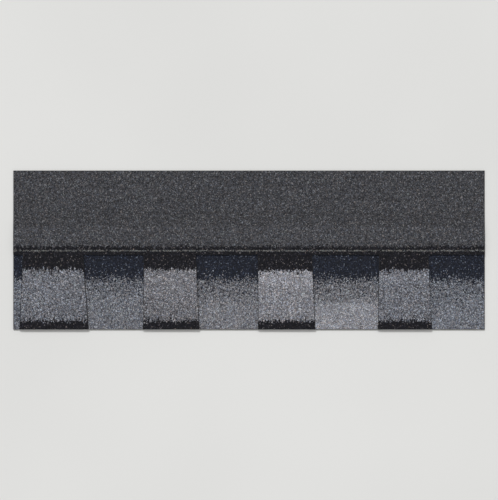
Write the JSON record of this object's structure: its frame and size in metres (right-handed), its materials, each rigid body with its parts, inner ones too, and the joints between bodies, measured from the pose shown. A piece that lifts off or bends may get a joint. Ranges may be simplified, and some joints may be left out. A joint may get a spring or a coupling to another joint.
{
  "type": "laminated asphalt shingle",
  "caption": "Flexible laminated roofing shingle with mineral granules and dovetail teeth over a backer strip; sheds water on pitched roofs.",
  "frame": {"origin": "middle of the shingle's outline, on the surface that it lies on", "axes": "+X along the shingle, +Y up the roof slope from the butt edge to the headlap edge, +Z out of the granule face"},
  "size_m": [1, 0.337, 0.0069],
  "materials": {
    "overlay_granules": "matte",
    "backer_granules": "matte",
    "laminating_asphalt": "satin",
    "sealant": "satin",
    "film": "gloss"
  },
  "bodies": {
    "root": {"tooth_sheet": "overlay_granules", "backer_strip": "backer_granules", "laminating_adhesive": "laminating_asphalt", "sealant_strip": "sealant", "release_film": "film"}
  },
  "joints": []
}
